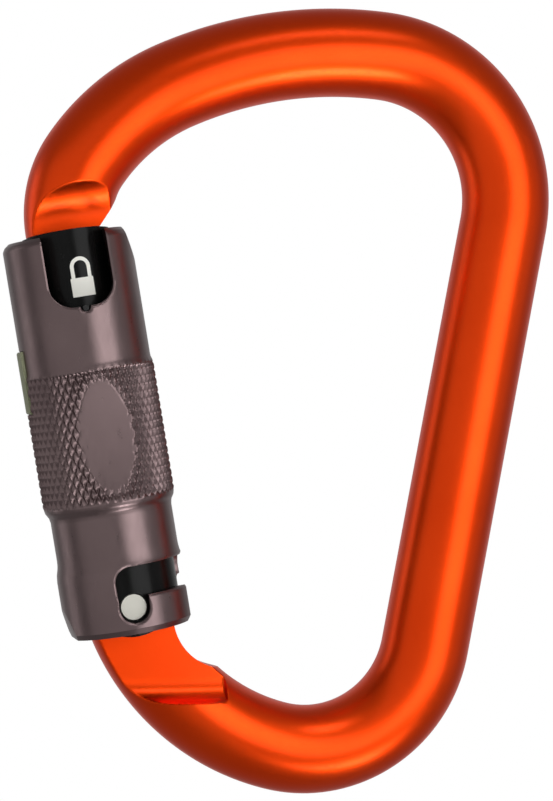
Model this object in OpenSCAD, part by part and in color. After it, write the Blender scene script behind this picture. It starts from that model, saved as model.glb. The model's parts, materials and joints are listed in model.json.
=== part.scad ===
// Large pear-shaped locking carabiner with a three-action sleeve, in millimetres.
// X is across the opening, Z is up the long way, -Y is the front face.
// The origin is the highest inside point of the wide end, where it hangs.

/* [Frame] */
// Diameter of the round bar
bar_d = 13.1; // [11:0.1:14]
// Half thickness of the milled tang and nose
flat_half = 3.0; // [2.5:0.1:3.5]
// Bend radius beside the hinge
tang_bend_r = 32.36; // [28:0.01:36]
// Bend radius of the narrow end
small_bend_r = 18.47; // [15:0.01:22]
// Bend radius of the wide end on the spine side
spine_bend_r = 21.27; // [18:0.01:24]
// Length of the straight spine
spine_length = 64.6; // [58:0.1:72]
// Radius of the top bow
bow_r = 61.9; // [50:0.1:70]
// Bend radius above the nose
nose_bend_r = 32.21; // [26:0.01:36]
// Bend radius at the tip of the nose
nose_tip_r = 14.07; // [12:0.01:20]

/* [Gate] */
// Lean of the gate axis from vertical, degrees
gate_tilt = 9.4; // [0:0.1:15]
// Gate foot radius
foot_r = 7.95; // [7:0.05:8]
// Gate neck radius
neck_r = 6.35; // [5.5:0.05:6.4]
// Length from hinge to nose face
gate_reach = 55.3; // [50:0.1:60]
// Hinge rivet diameter
rivet_d = 4.05; // [3.5:0.05:4.2]

/* [Sleeve] */
// Plain outside radius
sleeve_r = 9.42; // [9:0.01:9.6]
// Outside radius over the grip band
grip_r = 9.75; // [9.5:0.05:10]
// Lower bore radius
bore_r = 8.05; // [8:0.05:8.1]
// Upper bore radius, round the springs
spring_bore_r = 7.6; // [7.5:0.05:7.7]
// Bore radius round the button
guide_bore_r = 6.75; // [6.7:0.05:6.8]
// Top lip bore radius
lip_bore_r = 6.55; // [6.5:0.05:6.6]
// Window half width
window_half = 4.72; // [4:0.01:5.5]

/* [Button] */
// Button half width
button_half = 2.2; // [1.8:0.1:2.5]
// Button lower end above the hinge
button_low = 29.6; // [29:0.1:31]
// Button upper end above the hinge
button_high = 38.8; // [36:0.1:40]

/* [Hidden] */
$fn = 96;
bar_r = bar_d / 2;
hinge = [-31.14, -75.13];
start = [hinge[0], hinge[1], -72.6];
chain = [
    [tang_bend_r, 57.63],
    [small_bend_r, 94.02],
    [0, spine_length],
    [spine_bend_r, 94.14],
    [37.27, 1.92],
    [bow_r, 29.04],
    [nose_bend_r, 31.8],
    [nose_tip_r, 47.3]
];
// A chain entry is [bend radius, turn], or [0, length] for a straight.
function step(s, g) = g[0] == 0 ? [s[0] + g[1] * cos(s[2]), s[1] + g[1] * sin(s[2]), s[2]] : [
    s[0] - g[0] * sin(s[2]) + g[0] * sin(s[2] + g[1]),
    s[1] + g[0] * cos(s[2]) - g[0] * cos(s[2] + g[1]),
    s[2] + g[1]
];
function at(i) = i == 0 ? start : step(at(i - 1), chain[i - 1]);
neck_top_r = gate_reach - 0.15;
tenon_half = 1.35;
tenon_left = -3.4;
tip_x = 2.2;
tip_r = 2.4;
seat_up = 4.0;

module gate_frame() {
    translate([hinge[0], 0, hinge[1]]) rotate([0, -gate_tilt, 0]) children();
}

// A cylinder along Y through (x, up), y from y0 to y1.
module ycyl(x, up, r, y0, y1) {
    translate([x, y1, up]) rotate([90, 0, 0]) cylinder(r = r, h = y1 - y0);
}

module box(x0, x1, y0, y1, z0, z1) {
    translate([x0, y0, z0]) cube([x1 - x0, y1 - y0, z1 - z0]);
}

// Every second piece is a hair thinner and runs a little into its neighbours.
module bar_piece(i) {
    s = at(i);
    g = chain[i];
    odd = i % 2;
    r = bar_r - 0.05 * odd;
    if (g[0] == 0)
        translate([s[0], 0, s[1]])
            rotate([0, 90 - s[2], 0])
                cylinder(r = r, h = g[1]);
    else {
        e = odd * 0.3 / g[0] * 180 / PI;
        translate([s[0] - g[0] * sin(s[2]), 0, s[1] + g[0] * cos(s[2])])
            rotate([90, 0, 0])
                rotate([0, 0, s[2] - 90 - e])
                    rotate_extrude(angle = g[1] + 2 * e, $fn = 180)
                        translate([g[0], 0])
                            circle(r = r);
    }
}

// Round wire of radius w swept along the points p.
module wire(p, w, sides = 8) {
    n = len(p) - 1;
    pts = [for (i = [0 : n])
        let (t = p[min(i + 1, n)] - p[max(i - 1, 0)],
            u = cross(t, [0, 0, 1]) / norm(cross(t, [0, 0, 1])),
            v = cross(u, t) / norm(t))
        for (k = [0 : sides - 1])
            p[i] + w * cos(360 * k / sides) * u + w * sin(360 * k / sides) * v];
    polyhedron(
        points = pts,
        faces = concat(
            [for (i = [0 : n - 1], k = [0 : sides - 1])
                let (k2 = (k + 1) % sides)
                [i * sides + k, (i + 1) * sides + k, (i + 1) * sides + k2, i * sides + k2]],
            [[for (k = [0 : sides - 1]) k]],
            [[for (k = [sides - 1 : -1 : 0]) n * sides + k]]
        ),
        convexity = 8
    );
}

// Points of a helix whose wire of radius w just fills z0 to z1.
function helix(r, w, z0, z1, turns, per = 24, a0 = 0) = [
    for (i = [0 : round(turns * per)])
        let (f = i / round(turns * per), a = a0 + 360 * turns * f)
        [r * cos(a), r * sin(a), z0 + w + (z1 - z0 - 2 * w) * f]
];

module frame() {
    color([0.86, 0.22, 0.03])
    difference() {
        union() {
            for (i = [0 : 7]) bar_piece(i);
            // rounded end past the hinge
            intersection() {
                translate([hinge[0], 0, hinge[1]])
                    rotate([0, -90 - start[2], 0])
                        translate([0, 0, -0.3])
                            cylinder(r = bar_r - 0.05, h = 8.3);
                ycyl(hinge[0], hinge[1], 6.7, -10, 10);
            }
        }
        // tang flats and their cove shoulders, front and back
        for (s = [-1, 1]) {
            box(-60, -16.8, s > 0 ? flat_half : -12, s > 0 ? 12 : -flat_half, -85.85, -60);
            translate([-60, s * (flat_half + 3.55), -85.85])
                rotate([0, 90, 0])
                    cylinder(r = 3.55, h = 43.2);
        }
        gate_frame() {
            // relief on the inside edge of the tang
            ycyl(14.1, -4.0, 8, -12, 12);
            box(6.1, 14, -12, 12, -4.0, 6);
            // seat for the plunger
            box(-0.6, 12, -12, 12, seat_up, 9);
            // hinge bore
            ycyl(0, 0, rivet_d / 2 + 0.04, -12, 12);
            // coves of the nose, front and back
            for (s = [-1, 1])
                translate([-20, s * (flat_half + 8), 55.1])
                    rotate([0, 90, 0])
                        cylinder(r = 8, h = 40);
            // end face, an arc about the hinge
            intersection() {
                ycyl(0, 0, gate_reach, -12, 12);
                box(-14, 14, -12, 12, 43, 57);
            }
            // slanted inside edge
            translate([5.11, -12, 55.41])
                rotate([0, -48, 0])
                    translate([-5, 0, -14])
                        cube([12, 24, 14]);
            // groove for the tenon, open to the inside
            intersection() {
                ycyl(0, 0, gate_reach + 3.5, -tenon_half - 0.1, tenon_half + 0.1);
                box(tenon_left - 0.15, 14, -3, 3, 49, 63);
            }
        }
    }
}

module gate() {
    color([0.03, 0.03, 0.035])
    gate_frame()
    difference() {
        union() {
            // foot, with ears rounded below
            intersection() {
                union() {
                    translate([0, 0, -4.5]) cylinder(r = foot_r, h = 13.0);
                    translate([0, 0, 8.5]) cylinder(r1 = foot_r, r2 = foot_r - 0.5, h = 0.5);
                }
                union() {
                    ycyl(0, 3.7, 7.97, -12, 12);
                    box(-12, 12, -12, 12, 3.7, 12);
                }
            }
            // neck, its top following the nose face
            intersection() {
                translate([0, 0, 8]) cylinder(r = neck_r, h = 52);
                ycyl(0, 0, neck_top_r, -12, 12);
            }
            // tenon
            intersection() {
                ycyl(0, 0, gate_reach + 3.3, -tenon_half, tenon_half);
                box(tenon_left, 3.4, -3, 3, 53, 61);
            }
        }
        // slot for the tang
        ycyl(0, 0, 6.85, -flat_half - 0.06, flat_half + 0.06);
        box(-12, 0, -flat_half - 0.06, flat_half + 0.06, -12, 0.3);
        box(0, 12, -flat_half - 0.06, flat_half + 0.06, -12, 1.0);
        // rivet bore
        ycyl(0, 0, rivet_d / 2, -12, 12);
        // plunger bore
        translate([tip_x, 0, 4.5]) cylinder(r = tip_r + 0.05, h = 19.5);
        // clip groove
        translate([0, 0, 27.0])
            difference() {
                cylinder(r = 8, h = 0.9);
                translate([0, 0, -1]) cylinder(r = 5.9, h = 3);
            }
        // recess of the symbol
        intersection() {
            difference() {
                translate([0, 0, 40]) cylinder(r = 8, h = 14);
                translate([0, 0, 39]) cylinder(r = neck_r - 0.08, h = 16);
            }
            mark_shape();
        }
    }
}

// Padlock symbol, as a cutter through the front of the neck.
module mark_shape() {
    translate([0, -3, 0])
        rotate([90, 0, 0])
            linear_extrude(height = 6)
                union() {
                    translate([-1.16, 45.3]) square([3.32, 2.7]);
                    difference() {
                        union() {
                            translate([0.5, 49.57]) circle(r = 1.48, $fn = 40);
                            translate([-0.98, 47.6]) square([2.96, 1.97]);
                        }
                        translate([0.5, 49.57]) circle(r = 0.94, $fn = 40);
                        translate([-0.44, 47.6]) square([1.88, 1.97]);
                    }
                }
}

module lock_mark() {
    color([0.93, 0.92, 0.86])
    gate_frame()
    intersection() {
        difference() {
            translate([0, 0, 40]) cylinder(r = neck_r + 0.02, h = 14);
            translate([0, 0, 39]) cylinder(r = neck_r - 0.08, h = 16);
        }
        mark_shape();
    }
}

module hinge_rivet() {
    color([0.72, 0.72, 0.68])
    gate_frame()
    union() {
        ycyl(0, 0, rivet_d / 2, -7.5, 7.5);
        translate([0, -7.5, 0]) rotate([90, 0, 0])
            cylinder(r1 = rivet_d / 2, r2 = rivet_d / 2 - 0.18, h = 0.18);
        translate([0, 7.5, 0]) rotate([-90, 0, 0])
            cylinder(r1 = rivet_d / 2, r2 = rivet_d / 2 - 0.18, h = 0.18);
    }
}

module gate_plunger() {
    color([0.62, 0.62, 0.60])
    gate_frame()
    translate([tip_x, 0, seat_up + tip_r + 0.03])
    union() {
        sphere(r = tip_r, $fn = 64);
        cylinder(r = tip_r, h = 7.57);
        cylinder(r = 1.2, h = 9.6);
    }
}

module gate_spring() {
    color([0.55, 0.55, 0.56])
    gate_frame()
    translate([tip_x, 0, 0])
        wire(helix(1.85, 0.28, 14.03, 23.97, 7, 20), 0.28, 6);
}

module retaining_clip() {
    color([0.50, 0.50, 0.52])
    gate_frame()
    translate([0, 0, 27.05])
        rotate([0, 0, 25])
            rotate_extrude(angle = 310)
                translate([5.95, 0])
                    square([0.7, 0.8]);
}

module spring_washer() {
    color([0.62, 0.62, 0.60])
    gate_frame()
    translate([0, 0, 9.02])
    difference() {
        cylinder(r = 7.4, h = 0.58);
        translate([0, 0, -1]) cylinder(r = 6.42, h = 3);
    }
}

module sleeve_spring() {
    color([0.55, 0.55, 0.56])
    gate_frame()
    wire(helix(6.98, 0.45, 9.63, 24.97, 6.5, 28), 0.45);
}

module slip_ring() {
    color([0.78, 0.62, 0.30])
    gate_frame()
    translate([0, 0, 25.0])
    difference() {
        cylinder(r = 7.52, h = 1.97);
        translate([0, 0, -1]) cylinder(r = 6.42, h = 4);
    }
}

module sleeve() {
    color([0.36, 0.32, 0.33])
    gate_frame()
    difference() {
        rotate_extrude($fn = 128)
            polygon([
                [bore_r, -3.8], [8.9, -3.8], [sleeve_r, -2.9], [sleeve_r, 4.6],
                [8.95, 7.4], [8.95, 13.6], [grip_r, 15.3], [grip_r, 34.7],
                [sleeve_r, 35.3], [sleeve_r, 53.4], [8.4, 54.5],
                [lip_bore_r, 54.5], [lip_bore_r, 52.6], [spring_bore_r, 52.6],
                [spring_bore_r, 40.8], [guide_bore_r, 40.8],
                [guide_bore_r, 34.85], [7.15, 34.85], [7.15, 34.15], [guide_bore_r, 34.15],
                [guide_bore_r, 27.0], [spring_bore_r, 27.0],
                [spring_bore_r, 12.6], [bore_r, 12.6]
            ]);
        // smooth oval in the grip band
        translate([-12, -8.6 - 40.5, 25.05])
            rotate([0, 90, 0])
                cylinder(r = 40.5, h = 24, $fn = 360);
        // window at the front of the top
        box(-window_half, window_half, -14, -2, 47.2, 60);
        box(3.4 - window_half, window_half - 3.4, -14, -2, 43.8, 48);
        for (s = [-1, 1]) ycyl(s * (window_half - 3.4), 47.2, 3.4, -14, -2);
        // seat of the spring leg
        ycyl(0, 43.8, 0.78, -14, -4);
        // pocket and slot round the hinge rivet
        ycyl(0, 0, 2.25, -14, -2);
        box(-2.25, 2.25, -14, -2, 0, 3.7);
        ycyl(0, 3.7, 2.25, -14, -2);
        rotate([0, 0, -90])
            rotate_extrude(angle = 92)
                translate([5, 1.5])
                    square([9, 4.45]);
        rotate([0, 0, 92]) ycyl(0, 3.725, 2.225, -14, -2);
        // notches that clear the tang, right and back
        for (a = [0, 90])
            rotate([0, 0, a]) {
                box(2, 14, -3.5, 3.5, -6, 1.7);
                box(2, 14, -2.5, 2.5, -6, 2.7);
                for (s = [-1, 1])
                    translate([2, s * 2.5, 1.7])
                        rotate([0, 90, 0])
                            cylinder(r = 1.0, h = 12);
                translate([2, 0, -2.6])
                    rotate([0, 90, 0])
                        rotate([0, 0, 90])
                            linear_extrude(height = 12)
                                polygon([[-3.5, 0], [3.5, 0], [4.7, -3.4], [-4.7, -3.4]]);
            }
        // bevel on the inside of the top
        translate([9.5, 0, 48.6])
            rotate([0, -16.3, 0])
                translate([0, -15, -4])
                    cube([10, 30, 20]);
        // bevel on the outside of the foot
        translate([-9.35, 0, 0.6])
            rotate([0, -14, 0])
                translate([-10, -15, -12])
                    cube([10, 30, 14]);
        // hole and pocket of the button
        box(-14, -5, -button_half - 0.06, button_half + 0.06, button_low - 0.1, button_high + 0.1);
        box(-8.05, -4, -3.1, 3.1, button_low - 0.9, button_high + 0.9);
    }
}

module twist_spring() {
    color([0.04, 0.04, 0.045])
    gate_frame()
    wire(
        concat(
            helix(7.0, 0.45, 40.9, 44.0, 2.4, 30, 118),
            [[-0.45, -7.15, 43.55], [-0.12, -7.6, 43.55], [0, -8.2, 43.55], [0, -9.1, 43.55]]
        ),
        0.45
    );
}

module release_button() {
    color([0.53, 0.54, 0.45])
    gate_frame()
    union() {
        intersection() {
            translate([0, 0, button_low]) cylinder(r = 9.85, h = button_high - button_low);
            box(-11, -7.6, -button_half, button_half, button_low, button_high);
            rotate([90, 0, 0])
                translate([0, 0, -5])
                    linear_extrude(height = 10)
                        polygon([
                            [-7.2, button_low], [-9.45, button_low], [-9.95, button_low + 0.5],
                            [-9.95, button_high - 0.5], [-9.45, button_high], [-7.2, button_high]
                        ]);
        }
        box(-7.95, -7.4, -3.0, 3.0, button_low - 0.8, button_high + 0.8);
    }
}

module button_spring() {
    color([0.55, 0.55, 0.56])
    gate_frame()
    translate([0, 0, 34.5])
        rotate([0, 0, 25])
            rotate_extrude(angle = 310)
                translate([6.84, 0])
                    circle(r = 0.26, $fn = 24);
}

frame();
gate();
hinge_rivet();
gate_plunger();
gate_spring();
retaining_clip();
spring_washer();
sleeve_spring();
slip_ring();
sleeve();
twist_spring();
release_button();
button_spring();
lock_mark();
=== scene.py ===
import json
import math

import bmesh
import bpy
import numpy as np
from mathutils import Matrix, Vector


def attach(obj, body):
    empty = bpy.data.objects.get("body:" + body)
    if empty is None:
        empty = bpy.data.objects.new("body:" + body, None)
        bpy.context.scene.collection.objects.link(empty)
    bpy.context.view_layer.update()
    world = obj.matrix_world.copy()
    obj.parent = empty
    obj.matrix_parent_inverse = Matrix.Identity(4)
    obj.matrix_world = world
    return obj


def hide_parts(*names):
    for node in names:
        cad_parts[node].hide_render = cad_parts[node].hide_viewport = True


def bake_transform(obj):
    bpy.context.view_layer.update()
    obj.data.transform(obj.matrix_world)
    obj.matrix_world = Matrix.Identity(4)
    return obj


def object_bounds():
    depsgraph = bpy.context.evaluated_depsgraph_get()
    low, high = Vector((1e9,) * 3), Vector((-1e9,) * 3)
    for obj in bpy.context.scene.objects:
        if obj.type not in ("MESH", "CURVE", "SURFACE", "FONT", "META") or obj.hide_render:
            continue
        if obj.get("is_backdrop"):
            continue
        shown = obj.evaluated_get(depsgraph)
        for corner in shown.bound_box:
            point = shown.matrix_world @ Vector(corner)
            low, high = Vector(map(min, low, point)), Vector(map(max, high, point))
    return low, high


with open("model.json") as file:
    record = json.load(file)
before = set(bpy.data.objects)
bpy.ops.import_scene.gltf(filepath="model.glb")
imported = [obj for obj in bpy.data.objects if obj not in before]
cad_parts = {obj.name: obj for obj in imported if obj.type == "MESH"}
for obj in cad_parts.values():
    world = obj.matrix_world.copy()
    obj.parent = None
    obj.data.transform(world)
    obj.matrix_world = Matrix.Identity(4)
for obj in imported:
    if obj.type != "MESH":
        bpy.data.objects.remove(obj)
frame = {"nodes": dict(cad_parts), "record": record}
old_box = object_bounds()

# Lengths are in mm and are turned into metres by MM, where nothing else is said. "Up" runs along
# the gate from the hinge, and "right" runs from the gate into the opening.
MM = 0.001
TILT = math.radians(9.4)
HINGE = Vector((-31.14, 0.0, -75.13))
UP = Vector((-math.sin(TILT), 0.0, math.cos(TILT)))
RIGHT = Vector((math.cos(TILT), 0.0, math.sin(TILT)))


def to_row(p):
    """Points (right, back, up) from the hinge, in mm, as metres in the row frame."""
    p = np.asarray(p, float)
    out = np.empty_like(p)
    out[..., 0] = HINGE.x + p[..., 0] * RIGHT.x + p[..., 2] * UP.x
    out[..., 1] = p[..., 1]
    out[..., 2] = HINGE.z + p[..., 0] * RIGHT.z + p[..., 2] * UP.z
    return out * MM


# ---------------------------------------------------------------- meshes


def new_mesh(name, verts, faces):
    me = bpy.data.meshes.new(name)
    me.from_pydata([tuple(v) for v in verts], [], [tuple(f) for f in faces])
    me.update()
    ob = bpy.data.objects.new(name, me)
    bpy.context.scene.collection.objects.link(ob)
    bm = bmesh.new()
    bm.from_mesh(me)
    bmesh.ops.recalc_face_normals(bm, faces=bm.faces[:])
    bm.to_mesh(me)
    bm.free()
    return ob


def grid_faces(rows, cols, closed_rows=False):
    """Quads of a grid whose columns close into a ring, and whose rows may close too."""
    r = np.arange(rows if closed_rows else rows - 1)
    c = np.arange(cols)
    a = r[:, None] * cols + c[None]
    b = r[:, None] * cols + (c[None] + 1) % cols
    d = ((r[:, None] + 1) % rows) * cols + c[None]
    e = ((r[:, None] + 1) % rows) * cols + (c[None] + 1) % cols
    return np.stack([a, b, e, d], -1).reshape(-1, 4)


def side_faces(n):
    """Sides of a prism whose n near points are followed by its n far points."""
    return [(i, (i + 1) % n, n + (i + 1) % n, n + i) for i in range(n)]


def end_faces(n):
    """The near and the far end of such a prism."""
    return [tuple(range(n)), tuple(range(2 * n - 1, n - 1, -1))]


def prism(name, outline, y0, y1):
    """A closed prism from y0 to y1 whose outline is a list of (right, up)."""
    n = len(outline)
    pts = [(x, y0, u) for x, u in outline] + [(x, y1, u) for x, u in outline]
    return new_mesh(name, to_row(pts), end_faces(n) + side_faces(n))


def circle(x, u, r, n, a0=0.0, a1=360.0):
    """n points round a circle, or along its arc from a0 to a1 degrees."""
    full = abs(a1 - a0) >= 360
    turns = [math.radians(a0 + (a1 - a0) * i / (n if full else n - 1)) for i in range(n)]
    return [(x + r * math.cos(t), u + r * math.sin(t)) for t in turns]


def slanted_box(x, u, lean, below, above, depth):
    """Outline of a box beside a line through (x, u) that leans left by so many degrees.

    The line runs from below to above that point. The box is depth wide, on the line's right, or
    on its left where depth is negative."""
    a = math.radians(lean)
    low = (x + below * math.sin(a), u - below * math.cos(a))
    high = (x - above * math.sin(a), u + above * math.cos(a))
    return [low, high, (high[0] + depth, high[1]), (low[0] + depth, low[1])]


def cut(ob, *cutters):
    """Takes the cutters out of ob and deletes them."""
    for c in cutters:
        m = ob.modifiers.new("cut", "BOOLEAN")
        m.operation = "DIFFERENCE"
        m.solver = "MANIFOLD"
        m.object = c
        bpy.context.view_layer.objects.active = ob
        with bpy.context.temp_override(object=ob, active_object=ob, selected_objects=[ob]):
            bpy.ops.object.modifier_apply(modifier=m.name)
        old = c.data
        bpy.data.objects.remove(c)
        bpy.data.meshes.remove(old)


def smooth(ob, degrees):
    """Smooth shading, with every edge steeper than that kept sharp."""
    me = ob.data
    bm = bmesh.new()
    bm.from_mesh(me)
    limit = math.radians(degrees)
    for f in bm.faces:
        f.smooth = True
    for e in bm.edges:
        e.smooth = len(e.link_faces) == 2 and e.calc_face_angle(0.0) < limit
    bm.to_mesh(me)
    bm.free()


# ---------------------------------------------------------------- body

BAR_R = 6.55
START_HEADING = math.radians(-72.6)
# The bent bar from the hinge to the nose: (bend radius, turn in degrees) or (0, length)
CHAIN = [
    (32.36, 57.63),
    (18.47, 94.02),
    (0, 64.6),
    (21.27, 94.14),
    (37.27, 1.92),
    (61.9, 29.04),
    (32.21, 31.8),
    (14.07, 47.3),
]
LEAD_IN, LEAD_STEP = 6.6, 0.6
# Rings stand closer together over the milled lengths of the bar at the hinge and at the nose
FINE_STEP, COARSE_STEP = 0.16, 0.8
TANG_LENGTH, NOSE_LENGTH = 27, 24
BODY_SIDES = 160
# Half thickness between the milled flats
FLAT = 3.0
# Cove below the tang's flats: its radius and its height in the row frame
TANG_COVE_R, TANG_COVE_Z = 3.55, -85.85
# Right edge of the tang's flats in the row frame, how gently it rises, and by how much
TANG_EDGE_X, TANG_EDGE_BLUR, TANG_EDGE_RISE = -16.8, 0.06, 8
# Coves of the nose: radius, height above the hinge, and where they end
NOSE_COVE_R, NOSE_COVE_UP, NOSE_COVE_TOP = 8, 55.1, 63.1
# Lengths of the bar at the hinge and at the nose that milling may reach
TANG_ZONE, NOSE_ZONE = 40, 30
EDGE_SOFTNESS = 0.22
# A limit that lies outside the bar, and one so large that it stands for none
OUTSIDE, FREE = 9.0, 99.0
GATE_REACH = 55.3
# Slanted inside edge of the nose: a point on it (right, up), and its slope in degrees
SLANT_X, SLANT_UP, SLANT_SLOPE = 5.11, 55.41, 48
GROOVE_DEPTH, GROOVE_HALF = 3.5, 1.45
RELIEF_X, RELIEF_UP, RELIEF_R = 14.1, -4.0, 8
SEAT_LEFT, SEAT_UP = -0.6, 4.0
BORE_R, TANG_TOP_R = 2.065, 6.45
CUT_HALF = 12


def segment_length(radius, turn):
    return turn if radius == 0 else radius * math.radians(turn)


BAR_LENGTH = sum(segment_length(*segment) for segment in CHAIN)


def along(x, z, h, radius, d):
    """Place and heading a distance d further along a straight or a bend."""
    if radius == 0:
        return x + d * math.cos(h), z + d * math.sin(h), h
    a = d / radius
    return (
        x - radius * math.sin(h) + radius * math.sin(h + a),
        z + radius * math.cos(h) - radius * math.cos(h + a),
        h + a,
    )


def ring_step(s):
    return FINE_STEP if s < TANG_LENGTH or s > BAR_LENGTH - NOSE_LENGTH else COARSE_STEP


def body_line():
    """Centre points, headings and arc lengths of the bent bar's rings."""
    x, z, h = HINGE.x, HINGE.z, START_HEADING
    # straight lead-in past the hinge
    rings = [(*along(x, z, h, 0, k), k) for k in np.arange(-LEAD_IN, 0, LEAD_STEP)]
    total = 0.0
    for radius, turn in CHAIN:
        length = segment_length(radius, turn)
        d = 0.0
        while d < length - 1e-6:
            rings.append((*along(x, z, h, radius, d), total + d))
            d += ring_step(total + d)
        x, z, h = along(x, z, h, radius, length)
        total += length
    rings.append((x, z, h, total))
    rings = np.array(rings)
    return rings[:, :2], rings[:, 2], rings[:, 3]


def soft_min(a, b, k):
    h = np.clip(0.5 + 0.5 * (b - a) / k, 0, 1)
    return b * (1 - h) + a * h - k * h * (1 - h)


def milled_limit(x, z, s):
    """How far out each point may stand: the tang's flats and coves, and the nose's coves."""
    depth = np.clip(TANG_COVE_R ** 2 - (z - TANG_COVE_Z) ** 2, 0, None)
    cove = FLAT + TANG_COVE_R - np.sqrt(depth)
    tang = np.where(z > TANG_COVE_Z, FLAT, np.where(z > TANG_COVE_Z - TANG_COVE_R, cove, FREE))
    past_edge = 1 / (1 + np.exp(-(x - TANG_EDGE_X) / TANG_EDGE_BLUR))
    tang = np.where(s[:, None] < TANG_ZONE, tang + past_edge * TANG_EDGE_RISE, FREE)
    u = (x - HINGE.x) * UP.x + (z - HINGE.z) * UP.z
    depth = np.clip(NOSE_COVE_R ** 2 - (u - NOSE_COVE_UP) ** 2, 0, None)
    on_nose = (s[:, None] > BAR_LENGTH - NOSE_ZONE) & (u < NOSE_COVE_TOP)
    nose = np.where(on_nose, FLAT + NOSE_COVE_R - np.sqrt(depth), FREE)
    return np.minimum(tang, nose)


def make_body():
    pts, heads, s = body_line()
    ang = np.linspace(0, 2 * np.pi, BODY_SIDES, endpoint=False)
    off = BAR_R * np.cos(ang)[None, :]
    y = np.repeat((BAR_R * np.sin(ang))[None, :], len(s), 0)
    x = pts[:, 0:1] - np.sin(heads)[:, None] * off
    z = pts[:, 1:2] + np.cos(heads)[:, None] * off
    limit = milled_limit(x, z, s)
    milled = soft_min(np.abs(y), np.minimum(limit, OUTSIDE), EDGE_SOFTNESS)
    milled = np.where(limit < FREE / 2, milled, np.abs(y))
    y = np.sign(y) * np.minimum(milled, np.abs(y))
    verts = np.stack([x, y, z], -1).reshape(-1, 3) * MM
    faces = [tuple(f) for f in grid_faces(len(s), BODY_SIDES)]
    faces.append(tuple(range(BODY_SIDES)))
    faces.append(tuple(range((len(s) - 1) * BODY_SIDES, len(s) * BODY_SIDES)))
    ob = new_mesh("body_shell", verts, faces)

    def through(name, outline):
        return prism(name, outline, -CUT_HALF, CUT_HALF)

    # nose: its end face, which is an arc about the hinge, its slanted edge and the tenon's groove
    end_arc = circle(0, 0, GATE_REACH, 120, 72, 108)
    end_cut = through("end_cut", end_arc + [(-17.5, 43), (17.5, 43)])
    a = math.radians(SLANT_SLOPE)
    dx, dz = math.cos(a), math.sin(a)
    back, ahead, depth = 5, 7, 14
    p0 = (SLANT_X - back * dx, SLANT_UP - back * dz)
    p1 = (SLANT_X + ahead * dx, SLANT_UP + ahead * dz)
    q0 = (p0[0] + depth * dz, p0[1] - depth * dx)
    q1 = (p1[0] + depth * dz, p1[1] - depth * dx)
    slant = through("slant", [p0, p1, q1, q0])
    groove_arc = circle(0, 0, GATE_REACH + GROOVE_DEPTH, 60, 76, 93.46)
    groove_outline = groove_arc + [(-3.55, 49), (14.2, 49)]
    groove = prism("groove", groove_outline, -GROOVE_HALF, GROOVE_HALF)
    # tang: the relief on its inside, the plunger's seat, the hinge bore and its rounded top
    relief_arc = circle(RELIEF_X, RELIEF_UP, RELIEF_R, 90, 180, 330)
    relief = through("relief", relief_arc + [(22, 6), (6.1, 6)])
    seat = through("seat", [(SEAT_LEFT, SEAT_UP), (12, SEAT_UP), (12, 12), (SEAT_LEFT, 12)])
    bore = through("bore", circle(0, 0, BORE_R, 64))
    top_arc = circle(0, 0, TANG_TOP_R, 120, 16, 200)
    top = through("top", top_arc + [(-12, 0.2), (-12, 14), (14, 14), (14, 0.9)])
    cut(ob, end_cut, slant, groove, relief, seat, bore, top)
    smooth(ob, 30)
    return ob


# ---------------------------------------------------------------- sleeve

SLEEVE_R = 9.42
SLEEVE_TOP = 54.5
# The outside from the foot to the top: (up, radius)
SLEEVE_OUTSIDE = [
    (-3.8, 8.95), (-3.0, 9.42), (4.6, 9.42), (5.6, 9.32), (6.6, 9.06), (7.4, 8.95),
    (13.4, 8.95), (14.1, 9.08), (14.8, 9.5), (15.3, 9.62), (34.7, 9.62), (35.05, 9.55),
    (35.3, 9.42), (53.4, 9.42), (54.0, 9.1), (54.5, 8.45),
]
# The bore from the top to the foot: (radius, up)
SLEEVE_BORE = [
    (6.7, 54.5), (6.55, 54.35), (6.55, 52.6), (7.6, 52.6), (7.6, 40.8), (6.75, 40.8),
    (6.75, 34.85), (7.15, 34.85), (7.15, 34.15), (6.75, 34.15), (6.75, 27.0), (7.6, 27.0),
    (7.6, 12.6), (8.05, 12.6), (8.05, -3.65), (8.2, -3.8),
]
# Rings of the outside's mesh: (from, to, step)
SLEEVE_RINGS = [
    (-3.8, 6.6, 0.16), (6.6, 13.4, 0.6), (13.4, 15.3, 0.2),
    (15.3, 34.75, 0.14), (34.8, 42.6, 0.45), (42.6, 54.5, 0.17),
]
GRIP_LOW, GRIP_HIGH, GRIP_FADE = 15.4, 34.7, 0.45
# Knurls round the sleeve, and how far up the gate one groove climbs per knurl
KNURLS, KNURL_RISE = 52, 2.25
# Radius between the knurls, their height, and the least radius of all
KNURL_FLOOR, KNURL_DEPTH, KNURL_LEAST = 9.32, 0.43, 8.9
# How steeply a knurl rises, and where its flat top cuts it off
KNURL_SLOPE, KNURL_CREST = 1.25, 0.95
# The oval is cut by a wide arc along the gate, which comes closest to its axis at OVAL_UP
OVAL_FLAT, OVAL_R, OVAL_UP = 8.6, 40.5, 25.05
# A point belongs to the front where the cosine of its angle is above this
FRONT = 0.3
# The window is open at the top, so its rounded rectangle reaches well past the sleeve's end
WINDOW_HALF, WINDOW_LOW, WINDOW_CORNER, WINDOW_REACH = 4.72, 43.8, 3.4, 10.0
LEG_R = 0.78
# Pocket round the rivet: its radius, and the middle and half height of its straight part
POCKET_R, POCKET_MID, POCKET_HALF = 2.25, 2.98, 2.97
# Slot: lower and upper edge, turn in degrees, and the radius at which its end is round
SLOT_LOW, SLOT_HIGH, SLOT_TURN, SLOT_END_R = 1.5, 5.95, 92, 9.2
# Its middle and half height, half its length over the surface, and its corners' radius
SLOT_MID, SLOT_HALF, SLOT_REACH, SLOT_CORNER = 3.725, 2.225, 8.7, 2.2
NOTCH_HALF, NOTCH_TOP, NOTCH_CORNER = 3.5, 2.7, 1.0
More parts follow.
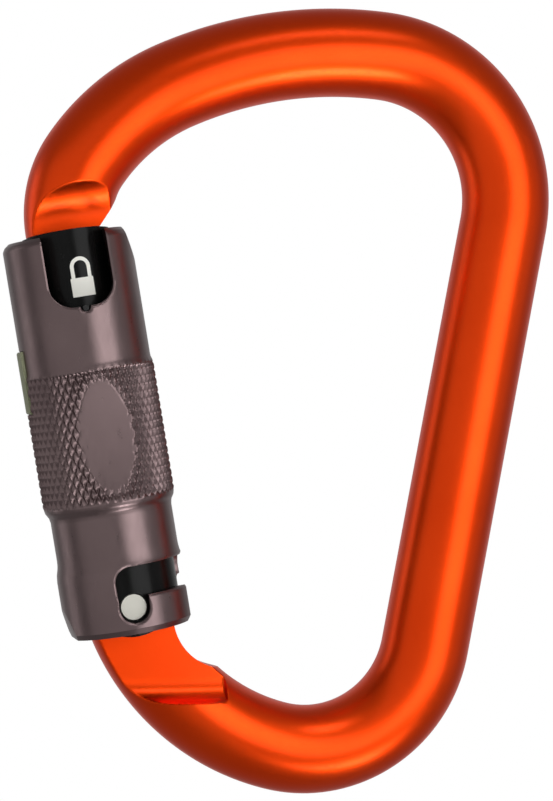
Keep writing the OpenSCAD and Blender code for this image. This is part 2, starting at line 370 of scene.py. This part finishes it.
# Hole for the button, and the wider recess for its foot
HOLE_LOW, HOLE_HIGH, HOLE_HALF = 29.5, 38.9, 2.26
RECESS_LOW, RECESS_HIGH, RECESS_HALF, RECESS_R = 28.7, 39.7, 3.1, 8.05
# Width of the broken edges, how much of it they drop, and a distance that has no such edge
BROKEN_EDGE, BROKEN_DROP, FAR = 0.26, 0.9, 9.0
# Cutters of the front reach from outside the sleeve into its bore
FRONT_CUT = (-14, -2)


def box_sdf(x, u, cx, cu, hx, hu, r):
    """Distance from a rounded rectangle of centre (cx, cu) and half sides hx and hu."""
    qx, qu = np.abs(x - cx) - (hx - r), np.abs(u - cu) - (hu - r)
    outside = np.hypot(np.maximum(qx, 0), np.maximum(qu, 0))
    return outside + np.minimum(np.maximum(qx, qu), 0) - r


def knurled(phi, u, r):
    """The radius with four-sided points raised between two families of grooves on the grip."""
    t = phi / (2 * np.pi) * KNURLS
    a, b = t + u / KNURL_RISE, t - u / KNURL_RISE
    ta, tb = np.abs((a % 1.0) - 0.5) * 2, np.abs((b % 1.0) - 0.5) * 2
    high = np.clip(np.minimum(1 - ta, 1 - tb) * KNURL_SLOPE, 0, KNURL_CREST)
    fade = np.clip((u - GRIP_LOW) / GRIP_FADE, 0, 1) * np.clip((GRIP_HIGH - u) / GRIP_FADE, 0, 1)
    knurl = KNURL_FLOOR + KNURL_DEPTH * high * fade + (1 - fade) * (r - KNURL_FLOOR)
    return np.where(fade > 0, np.maximum(knurl, KNURL_LEAST), r)


def opening_distance(phi, u):
    """Distance over the surface to the nearest opening: window, slot or notch."""
    x = SLEEVE_R * np.sin(phi)
    arc = SLEEVE_R * phi
    window_mid = WINDOW_LOW + WINDOW_REACH
    window = box_sdf(x, u, 0, window_mid, WINDOW_HALF, WINDOW_REACH, WINDOW_CORNER)
    window = np.minimum(window, np.hypot(x, u - WINDOW_LOW) - LEG_R)
    pocket = box_sdf(x, u, 0, POCKET_MID, POCKET_R, POCKET_HALF, SLOT_CORNER)
    pocket = np.minimum(np.hypot(x, u) - POCKET_R, pocket)
    slot = box_sdf(arc, u, SLOT_REACH, SLOT_MID, SLOT_REACH, SLOT_HALF, SLOT_CORNER)
    slot = np.minimum(pocket, slot)
    window = np.where(np.cos(phi) > FRONT, window, FAR)
    near = np.minimum(window, np.where(np.cos(phi) > -FRONT, slot, FAR))
    for turn in (0.5, 1.0):
        p = (phi - turn * np.pi + np.pi) % (2 * np.pi) - np.pi
        x = SLEEVE_R * np.sin(p)
        notch = box_sdf(x, u, 0, NOTCH_TOP - 5, NOTCH_HALF, 5.0, NOTCH_CORNER)
        near = np.minimum(near, notch + FAR * (np.cos(p) < 0))
    return near


def sleeve_radius(phi, u):
    """Outer radius, where phi is measured from the front towards the right."""
    r = knurled(phi, u, np.interp(u, *zip(*SLEEVE_OUTSIDE)))
    # smooth oval at the front of the grip
    oval = OVAL_FLAT + OVAL_R - np.sqrt(OVAL_R ** 2 - np.clip(u - OVAL_UP, -30, 30) ** 2)
    across = oval / np.maximum(np.cos(phi), FRONT)
    r = np.minimum(r, np.where(np.cos(phi) > FRONT, across, FREE))
    # broken edges round the openings
    near = np.clip(opening_distance(phi, u), 0, FAR)
    return r - np.clip(BROKEN_EDGE - near, 0, BROKEN_EDGE) * BROKEN_DROP


def slot_cutter():
    """The slot that runs round the sleeve from the rivet to a round end."""
    n, n_end = 60, 30
    out = [(SLOT_TURN * i / n, SLOT_LOW) for i in range(n + 1)]
    for i in range(1, n_end):
        a = math.radians(-90 + 180 * i / n_end)
        turn = SLOT_TURN + math.degrees(SLOT_HALF * math.cos(a) / SLOT_END_R)
        out.append((turn, SLOT_MID + SLOT_HALF * math.sin(a)))
    out += [(SLOT_TURN * i / n, SLOT_HIGH) for i in range(n, -1, -1)]
    pts = []
    for r in (5.0, 12.0):
        for turn, u in out:
            a = math.radians(turn)
            pts.append((r * math.sin(a), -r * math.cos(a), u))
    # the inner and outer face are strips of quads that end in a triangle at the round end
    m = len(out)
    mid = m // 2
    quads = [(i, i + 1, m - 2 - i, m - 1 - i) for i in range(mid - 1)]
    tip = (mid - 1, mid, mid + 1)
    faces = side_faces(m) + quads + [tuple(m + k for k in q) for q in quads]
    faces += [tip, tuple(m + k for k in tip)]
    return new_mesh("slot", to_row(pts), faces)


def notch_cutter(name, ax, ay):
    """A notch in the foot that clears the tang, cut outwards along (ax, ay)."""
    corner_x, corner_u = NOTCH_HALF - NOTCH_CORNER, NOTCH_TOP - NOTCH_CORNER
    shape = [(-4.75, -6.6), (4.75, -6.6), (NOTCH_HALF, -2.6)]
    shape += circle(corner_x, corner_u, NOTCH_CORNER, 16, 0, 90)
    shape += circle(-corner_x, corner_u, NOTCH_CORNER, 16, 90, 180)
    shape.append((-NOTCH_HALF, -2.6))
    pts = [(ax * d - ay * w, ay * d + ax * w, u) for d in (2.0, 14.0) for w, u in shape]
    return new_mesh(name, to_row(pts), end_faces(len(shape)) + side_faces(len(shape)))


def make_sleeve():
    cols = KNURLS * 10
    us = np.concatenate([np.arange(*ring) for ring in SLEEVE_RINGS] + [[SLEEVE_TOP]])
    phi = np.linspace(0, 2 * np.pi, cols, endpoint=False)
    P, U = np.meshgrid(phi, us)
    P = (P + np.pi) % (2 * np.pi) - np.pi
    R = sleeve_radius(P, U)
    outer = np.stack([R * np.sin(P), -R * np.cos(P), U], -1)
    inner = np.stack([
        np.stack([r * np.sin(phi), -r * np.cos(phi), np.full(cols, u)], -1) for r, u in SLEEVE_BORE
    ])
    rows = np.concatenate([outer, inner])
    ob = new_mesh("sleeve_shell", to_row(rows.reshape(-1, 3)), grid_faces(len(rows), cols, True))

    # window with a small leg below it
    x, u = WINDOW_HALF - WINDOW_CORNER, WINDOW_LOW + WINDOW_CORNER
    low = circle(x, u, WINDOW_CORNER, 40, 360, 270) + circle(-x, u, WINDOW_CORNER, 40, 270, 180)
    window = prism("window", [(WINDOW_HALF, 60)] + low + [(-WINDOW_HALF, 60)], *FRONT_CUT)
    leg = prism("leg", circle(0, WINDOW_LOW, LEG_R, 40), -14, -4)
    # pocket round the rivet
    outline = circle(0, 3.7, POCKET_R, 40, 90, 180) + circle(0, 0, POCKET_R, 48, 180, 360)
    pocket = prism("pocket", outline + [(POCKET_R, SLOT_HIGH)], *FRONT_CUT)
    notches = [notch_cutter("notch_right", 1, 0), notch_cutter("notch_back", 0, 1)]
    # bevels on the inside of the top and on the outside of the foot
    bevel = prism("bevel", slanted_box(9.5, 48.6, 16.3, 4, 16, 12), -15, 15)
    foot = prism("foot", slanted_box(-9.35, 0.6, 14, 12, 2, -10), -15, 15)
    # hole for the button, and the recess behind it
    outline = [(-14, HOLE_LOW), (-5, HOLE_LOW), (-5, HOLE_HIGH), (-14, HOLE_HIGH)]
    hole = prism("hole", outline, -HOLE_HALF, HOLE_HALF)
    outline = [(-RECESS_R, RECESS_LOW), (-4, RECESS_LOW), (-4, RECESS_HIGH), (-RECESS_R, RECESS_HIGH)]
    recess = prism("recess", outline, -RECESS_HALF, RECESS_HALF)
    cut(ob, window, leg, pocket, slot_cutter(), *notches, bevel, foot, hole, recess)
    smooth(ob, 28)
    return ob


# ---------------------------------------------------------------- materials


class Nodes:
    """A new material, with short ways to add nodes to it."""

    def __init__(self, name):
        self.m = bpy.data.materials.new(name)
        self.m.use_nodes = True
        self.t = self.m.node_tree
        self.bsdf = next(n for n in self.t.nodes if n.type == "BSDF_PRINCIPLED")

    def set(self, node, **values):
        """Sets the node's inputs, where _ stands for a space in an input's name."""
        for k, v in values.items():
            node.inputs[k.replace("_", " ")].default_value = v

    def add(self, kind, **values):
        n = self.t.nodes.new(kind)
        self.set(n, **values)
        return n

    def link(self, a, b):
        self.t.links.new(a, b)

    def noise(self, scale, detail, rough, stretch):
        coord = self.add("ShaderNodeTexCoord")
        mp = self.add("ShaderNodeMapping", Scale=stretch, Rotation=(0, TILT, 0))
        self.link(coord.outputs["Object"], mp.inputs["Vector"])
        n = self.add("ShaderNodeTexNoise", Scale=scale, Detail=detail, Roughness=rough)
        self.link(mp.outputs["Vector"], n.inputs["Vector"])
        return n.outputs["Fac"]

    def ramp(self, value, lo, hi, a, b):
        r = self.add("ShaderNodeMapRange", From_Min=lo, From_Max=hi, To_Min=a, To_Max=b)
        self.link(value, r.inputs["Value"])
        return r.outputs["Result"]

    def mix(self, fac, a, b):
        r = self.add("ShaderNodeMix")
        r.data_type = "RGBA"
        self.link(fac, r.inputs["Factor"])
        self.set(r, A=(*a, 1), B=(*b, 1))
        return r.outputs["Result"]

    def bump(self, value, strength, distance):
        b = self.add("ShaderNodeBump", Strength=strength, Distance=distance)
        self.link(value, b.inputs["Height"])
        self.link(b.outputs["Normal"], self.bsdf.inputs["Normal"])


def metal(name, dark, light, rough, grain, grain_height=0.000012, stretch=(1, 1, 1),
          metallic=1.0, coat=0.0, specular=0.5):
    """Colour that drifts between dark and light, with a fine grain in roughness and height.

    grain is the noise's scale per metre, and grain_height is in metres."""
    k = Nodes(name)
    drift = k.ramp(k.noise(60, 4, 0.5, (1, 1, 1)), 0.3, 0.7, 0, 1)
    k.link(k.mix(drift, dark, light), k.bsdf.inputs["Base Color"])
    fine = k.noise(grain, 3, 0.6, stretch)
    k.link(k.ramp(fine, 0.25, 0.75, rough - 0.05, rough + 0.07), k.bsdf.inputs["Roughness"])
    k.set(k.bsdf, Metallic=metallic, Specular_IOR_Level=specular, Coat_Weight=coat,
          Coat_Roughness=0.15)
    k.bump(fine, 0.35, grain_height)
    return k.m


FINISHES = {
    "body_orange": dict(dark=(0.84, 0.054, 0.003), light=(0.92, 0.066, 0.005), rough=0.34,
                        grain=2600, grain_height=0.000008, coat=0.06),
    "gate_black": dict(dark=(0.003, 0.003, 0.003), light=(0.005, 0.005, 0.005), rough=0.22,
                       grain=700, grain_height=0.000006, metallic=0.0, specular=0.12),
    "sleeve_grey": dict(dark=(0.152, 0.108, 0.110), light=(0.19, 0.137, 0.137), rough=0.31,
                        grain=1500, grain_height=0.000008, stretch=(1, 1, 0.25)),
    "rivet_steel": dict(dark=(0.50, 0.49, 0.44), light=(0.62, 0.61, 0.55), rough=0.42,
                        grain=2500, grain_height=0.00002),
    "spring_steel": dict(dark=(0.40, 0.40, 0.41), light=(0.52, 0.52, 0.53), rough=0.3,
                         grain=1200),
    "spring_black": dict(dark=(0.01, 0.01, 0.01), light=(0.02, 0.02, 0.02), rough=0.14,
                         grain=800, metallic=0.2, coat=0.6),
    "inner_steel": dict(dark=(0.45, 0.45, 0.44), light=(0.56, 0.56, 0.55), rough=0.3,
                        grain=1500),
    "ring_bronze": dict(dark=(0.52, 0.34, 0.13), light=(0.62, 0.42, 0.18), rough=0.34,
                        grain=1500),
    "button_olive": dict(dark=(0.24, 0.25, 0.155), light=(0.31, 0.32, 0.21), rough=0.5,
                         grain=1800, metallic=0.7),
    "mark_white": dict(dark=(0.80, 0.79, 0.72), light=(0.86, 0.85, 0.79), rough=0.55,
                       grain=1800, grain_height=0.00001, metallic=0.0),
}
MATS = {name: metal(name, **finish) for name, finish in FINISHES.items()}


def paint(ob, slot):
    ob.data.materials.clear()
    ob.data.materials.append(MATS[slot])


for sub in frame["record"]["subparts"]:
    for material_slot in frame["nodes"][sub["node"]].material_slots:
        material_slot.material = MATS[sub["material_slot"]]

# ---------------------------------------------------------------- pieces

body = make_body()
paint(body, "body_orange")
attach(body, "body")
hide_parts("frame")

sleeve = make_sleeve()
paint(sleeve, "sleeve_grey")
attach(sleeve, "sleeve")
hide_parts("sleeve")


def coil(node, x, low, high):
    """A coil spring's own mesh, copied from its CAD node, which is then hidden.

    x is how far its axis is to the right of the gate's, and low and high are its ends, up."""
    cad = frame["nodes"][node]
    me = cad.data.copy()
    me.transform(cad.matrix_world)
    ob = bpy.data.objects.new(node + "_coil", me)
    bpy.context.scene.collection.objects.link(ob)
    paint(ob, "spring_steel")
    tuple(to_row((x, 0, low)))
    tuple(to_row((x, 0, high)))
    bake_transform(ob)
    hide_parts(node)


coil("gate_spring", 2.2, 14.03, 23.97)
coil("sleeve_spring", 0, 9.63, 24.97)

# ---------------------------------------------------------------- stage

# Half the width of the room and the height of its floor, in metres
ROOM, FLOOR_Z = 2.5, -0.6


def backdrop(name, verts, faces, shade):
    """A plain pale surface that the camera sees and that casts no light on the object."""
    me = bpy.data.meshes.new(name)
    me.from_pydata(verts, [], faces)
    ob = bpy.data.objects.new(name, me)
    bpy.context.scene.collection.objects.link(ob)
    k = Nodes(name)
    k.set(k.bsdf, Base_Color=(0, 0, 0, 1), Roughness=1.0, Specular_IOR_Level=0.0,
          Emission_Color=(1, 1, 1, 1), Emission_Strength=shade)
    me.materials.append(k.m)
    ob.visible_diffuse = False
    ob.visible_glossy = False
    ob.visible_shadow = False
    ob.visible_transmission = False
    ob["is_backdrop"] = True


square = ((-ROOM, -ROOM), (ROOM, -ROOM), (ROOM, ROOM), (-ROOM, ROOM))
corners = [(x, y, z) for z in (FLOOR_Z, ROOM) for x, y in square]
walls = [(0, 1, 5, 4), (1, 2, 6, 5), (2, 3, 7, 6), (3, 0, 4, 7), (4, 5, 6, 7)]
backdrop("walls", corners, walls, 1.0)
backdrop("floor", corners[:4], [(0, 1, 2, 3)], 0.88)

world = bpy.data.worlds.new("studio")
world.use_nodes = True
bg = next(n for n in world.node_tree.nodes if n.type == "BACKGROUND")
bg.inputs["Color"].default_value = (1, 1, 1, 1)
bg.inputs["Strength"].default_value = 0.27
bpy.context.scene.world = world
bpy.context.scene.view_settings.view_transform = "Standard"

# The point that the camera looks at, and how far it stands turned to the left of square on
CENTRE = Vector((-8.52, 0, -45.4))
YAW = math.radians(12.0)
LOOK = Vector((math.sin(YAW), math.cos(YAW), 0))
ACROSS = Vector((math.cos(YAW), -math.sin(YAW), 0))
DISTANCE = 380
# What the picture's height takes in at that distance
VIEW_HEIGHT = 119.1087
SENSOR_HEIGHT = 24


def place(x, y, z):
    """A point seen from the camera: to the right of CENTRE, towards the camera, and up."""
    return (CENTRE + ACROSS * x - LOOK * y + Vector((0, 0, z))) * MM


def softbox(name, pos, aim, width, height, radiance, spread=180):
    """A soft rectangular light at pos that faces aim and stays out of the picture."""
    li = bpy.data.lights.new(name, "AREA")
    li.shape = "RECTANGLE"
    li.size = width * MM
    li.size_y = height * MM
    li.energy = radiance * math.pi * li.size * li.size_y
    li.spread = math.radians(spread)
    ob = bpy.data.objects.new(name, li)
    bpy.context.scene.collection.objects.link(ob)
    ob.visible_camera = False
    ob.location = place(*pos)
    ob.rotation_euler = (place(*aim) - ob.location).to_track_quat("-Z", "Y").to_euler()


softbox("key", (170, 205, 0), (0, 0, 0), 200, 230, 2.45)
softbox("front", (-320, 550, 20), (0, 0, 0), 1000, 900, 0.37)
softbox("low", (100, 120, -160), (-12, 0, 50), 100, 70, 0.75, 45)
softbox("high", (60, 130, 165), (-5, 0, -50), 100, 70, 0.25, 45)
softbox("left_rim", (-300, -60, 0), (0, 0, 0), 120, 300, 0.75)
softbox("right_rim", (330, 30, 0), (0, 0, 0), 160, 300, 0.2)
softbox("back", (0, -600, 30), (0, 0, 0), 1200, 1000, 0.22)

cam_data = bpy.data.cameras.new("camera")
cam = bpy.data.objects.new("camera", cam_data)
bpy.context.scene.collection.objects.link(cam)
cam.location = place(0, DISTANCE, 0)
cam.rotation_euler = LOOK.to_track_quat("-Z", "Y").to_euler()
cam_data.sensor_fit = "VERTICAL"
cam_data.sensor_height = SENSOR_HEIGHT
cam_data.lens = SENSOR_HEIGHT * DISTANCE / VIEW_HEIGHT
cam_data.clip_start = 0.01
cam_data.clip_end = 20
bpy.context.scene.camera = cam

new_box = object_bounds()


def plain(v):
    if isinstance(v, dict):
        return {str(k): plain(x) for k, x in v.items()}
    if isinstance(v, (Vector, list, tuple, np.ndarray)):
        return [plain(x) for x in v]
    return v if isinstance(v, str) or v is None else float(v)


{"cad": plain(old_box), "visual": plain(new_box)}
